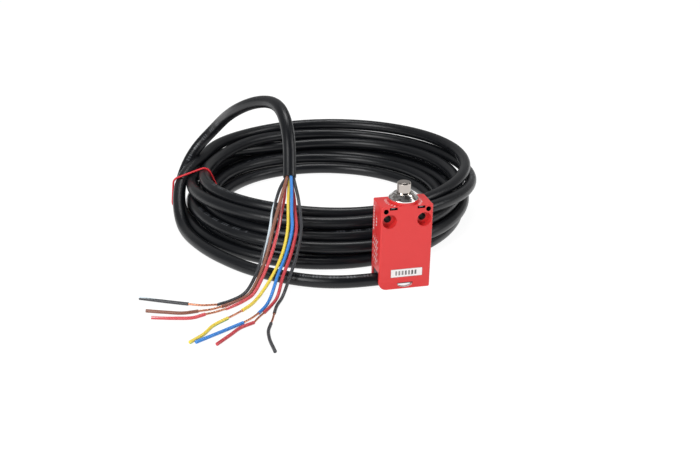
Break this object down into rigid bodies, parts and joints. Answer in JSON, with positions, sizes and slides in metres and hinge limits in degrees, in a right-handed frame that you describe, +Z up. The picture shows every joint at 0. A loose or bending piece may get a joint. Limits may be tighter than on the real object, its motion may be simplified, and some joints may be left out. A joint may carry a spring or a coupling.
{
  "type": "safety limit switch",
  "caption": "Miniature safety limit switch: red die-cast body, chromed head with a steel end plunger, and a coiled black cable whose coloured cores are stripped at the end.",
  "frame": {"origin": "centre of the switch body's bottom face, on the surface the switch and its cable lie on", "axes": "+Z up along the plunger, -Y out of the front face with the screw counterbores, +Y out of the mounting face; the cable leaves towards -X"},
  "size_m": [0.2334, 0.281, 0.0887],
  "materials": {
    "red_paint": "satin",
    "black_cover": "fine textured",
    "label_film": "satin",
    "chromed_head": "polished",
    "clip_steel": "bright",
    "plunger_steel": "ground and polished",
    "spring_steel": "drawn wire",
    "blackened_steel": "oiled",
    "seal_rubber": "matt",
    "block_plastic": "moulded",
    "carrier_plastic": "moulded",
    "contact_brass": "stamped",
    "resin": "cast",
    "gland_rubber": "matt",
    "plated_steel": "zinc plated",
    "sheath_pvc": "semi-gloss",
    "tie_red": "satin",
    "bare_copper": "bright stranded",
    "insulation_black_white": "satin",
    "insulation_brown": "satin",
    "insulation_red_white": "satin",
    "insulation_green_yellow": "satin",
    "insulation_blue": "satin",
    "insulation_red": "satin",
    "insulation_black": "satin"
  },
  "bodies": {
    "root": {"case": "red_paint", "back_cover": "black_cover", "date_label": "label_film", "head_body": "chromed_head", "head_clip": "clip_steel", "head_o_ring": "seal_rubber", "plunger_wiper": "seal_rubber", "plunger_spring": "spring_steel", "contact_housing": "block_plastic", "contact_cover": "block_plastic", "carrier_spring": "spring_steel", "nc1_terminal_left": "contact_brass", "nc1_terminal_right": "contact_brass", "nc2_terminal_left": "contact_brass", "nc2_terminal_right": "contact_brass", "no_terminal_left": "contact_brass", "no_terminal_right": "contact_brass", "potting_resin": "resin", "earth_tag": "contact_brass", "earth_screw": "plated_steel", "cable_gland": "gland_rubber", "cable_clamp": "plated_steel", "cable_lead": "sheath_pvc", "cable_coil": "sheath_pvc", "cable_tail": "sheath_pvc", "cable_tie": "tie_red", "wire_black_white": "insulation_black_white", "core_black_white": "bare_copper", "tip_black_white": "insulation_black_white", "wire_brown": "insulation_brown", "core_brown": "bare_copper", "tip_brown": "insulation_brown", "wire_red_white": "insulation_red_white", "core_red_white": "bare_copper", "tip_red_white": "insulation_red_white", "wire_green_yellow": "insulation_green_yellow", "core_green_yellow": "bare_copper", "tip_green_yellow": "insulation_green_yellow", "wire_blue": "insulation_blue", "core_blue": "bare_copper", "tip_blue": "insulation_blue", "wire_red": "insulation_red", "core_red": "bare_copper", "tip_red": "insulation_red", "wire_black": "insulation_black", "core_black": "bare_copper", "tip_black": "insulation_black"},
    "plunger_body": {"plunger": "plunger_steel", "plunger_circlip": "blackened_steel"},
    "carrier_body": {"contact_carrier": "carrier_plastic", "nc1_bridge": "contact_brass", "nc2_bridge": "contact_brass", "no_bridge": "contact_brass", "nc1_spring": "spring_steel", "nc2_spring": "spring_steel", "no_spring": "spring_steel"}
  },
  "joints": [
    {"name": "plunger_press", "type": "slide", "parent": "root", "child": "plunger_body", "axis": [0, 0, -1], "range_m": [0, 0.004], "stiffness_N_per_m": 1500, "deforming": ["plunger_spring"]},
    {"name": "contact_travel", "type": "slide", "parent": "root", "child": "carrier_body", "axis": [0, 0, -1], "range_m": [0, 0.004], "deforming": ["carrier_spring"]}
  ],
  "couplings": [
    {"joint": "contact_travel", "follows": "plunger_press", "ratio": 1}
  ]
}
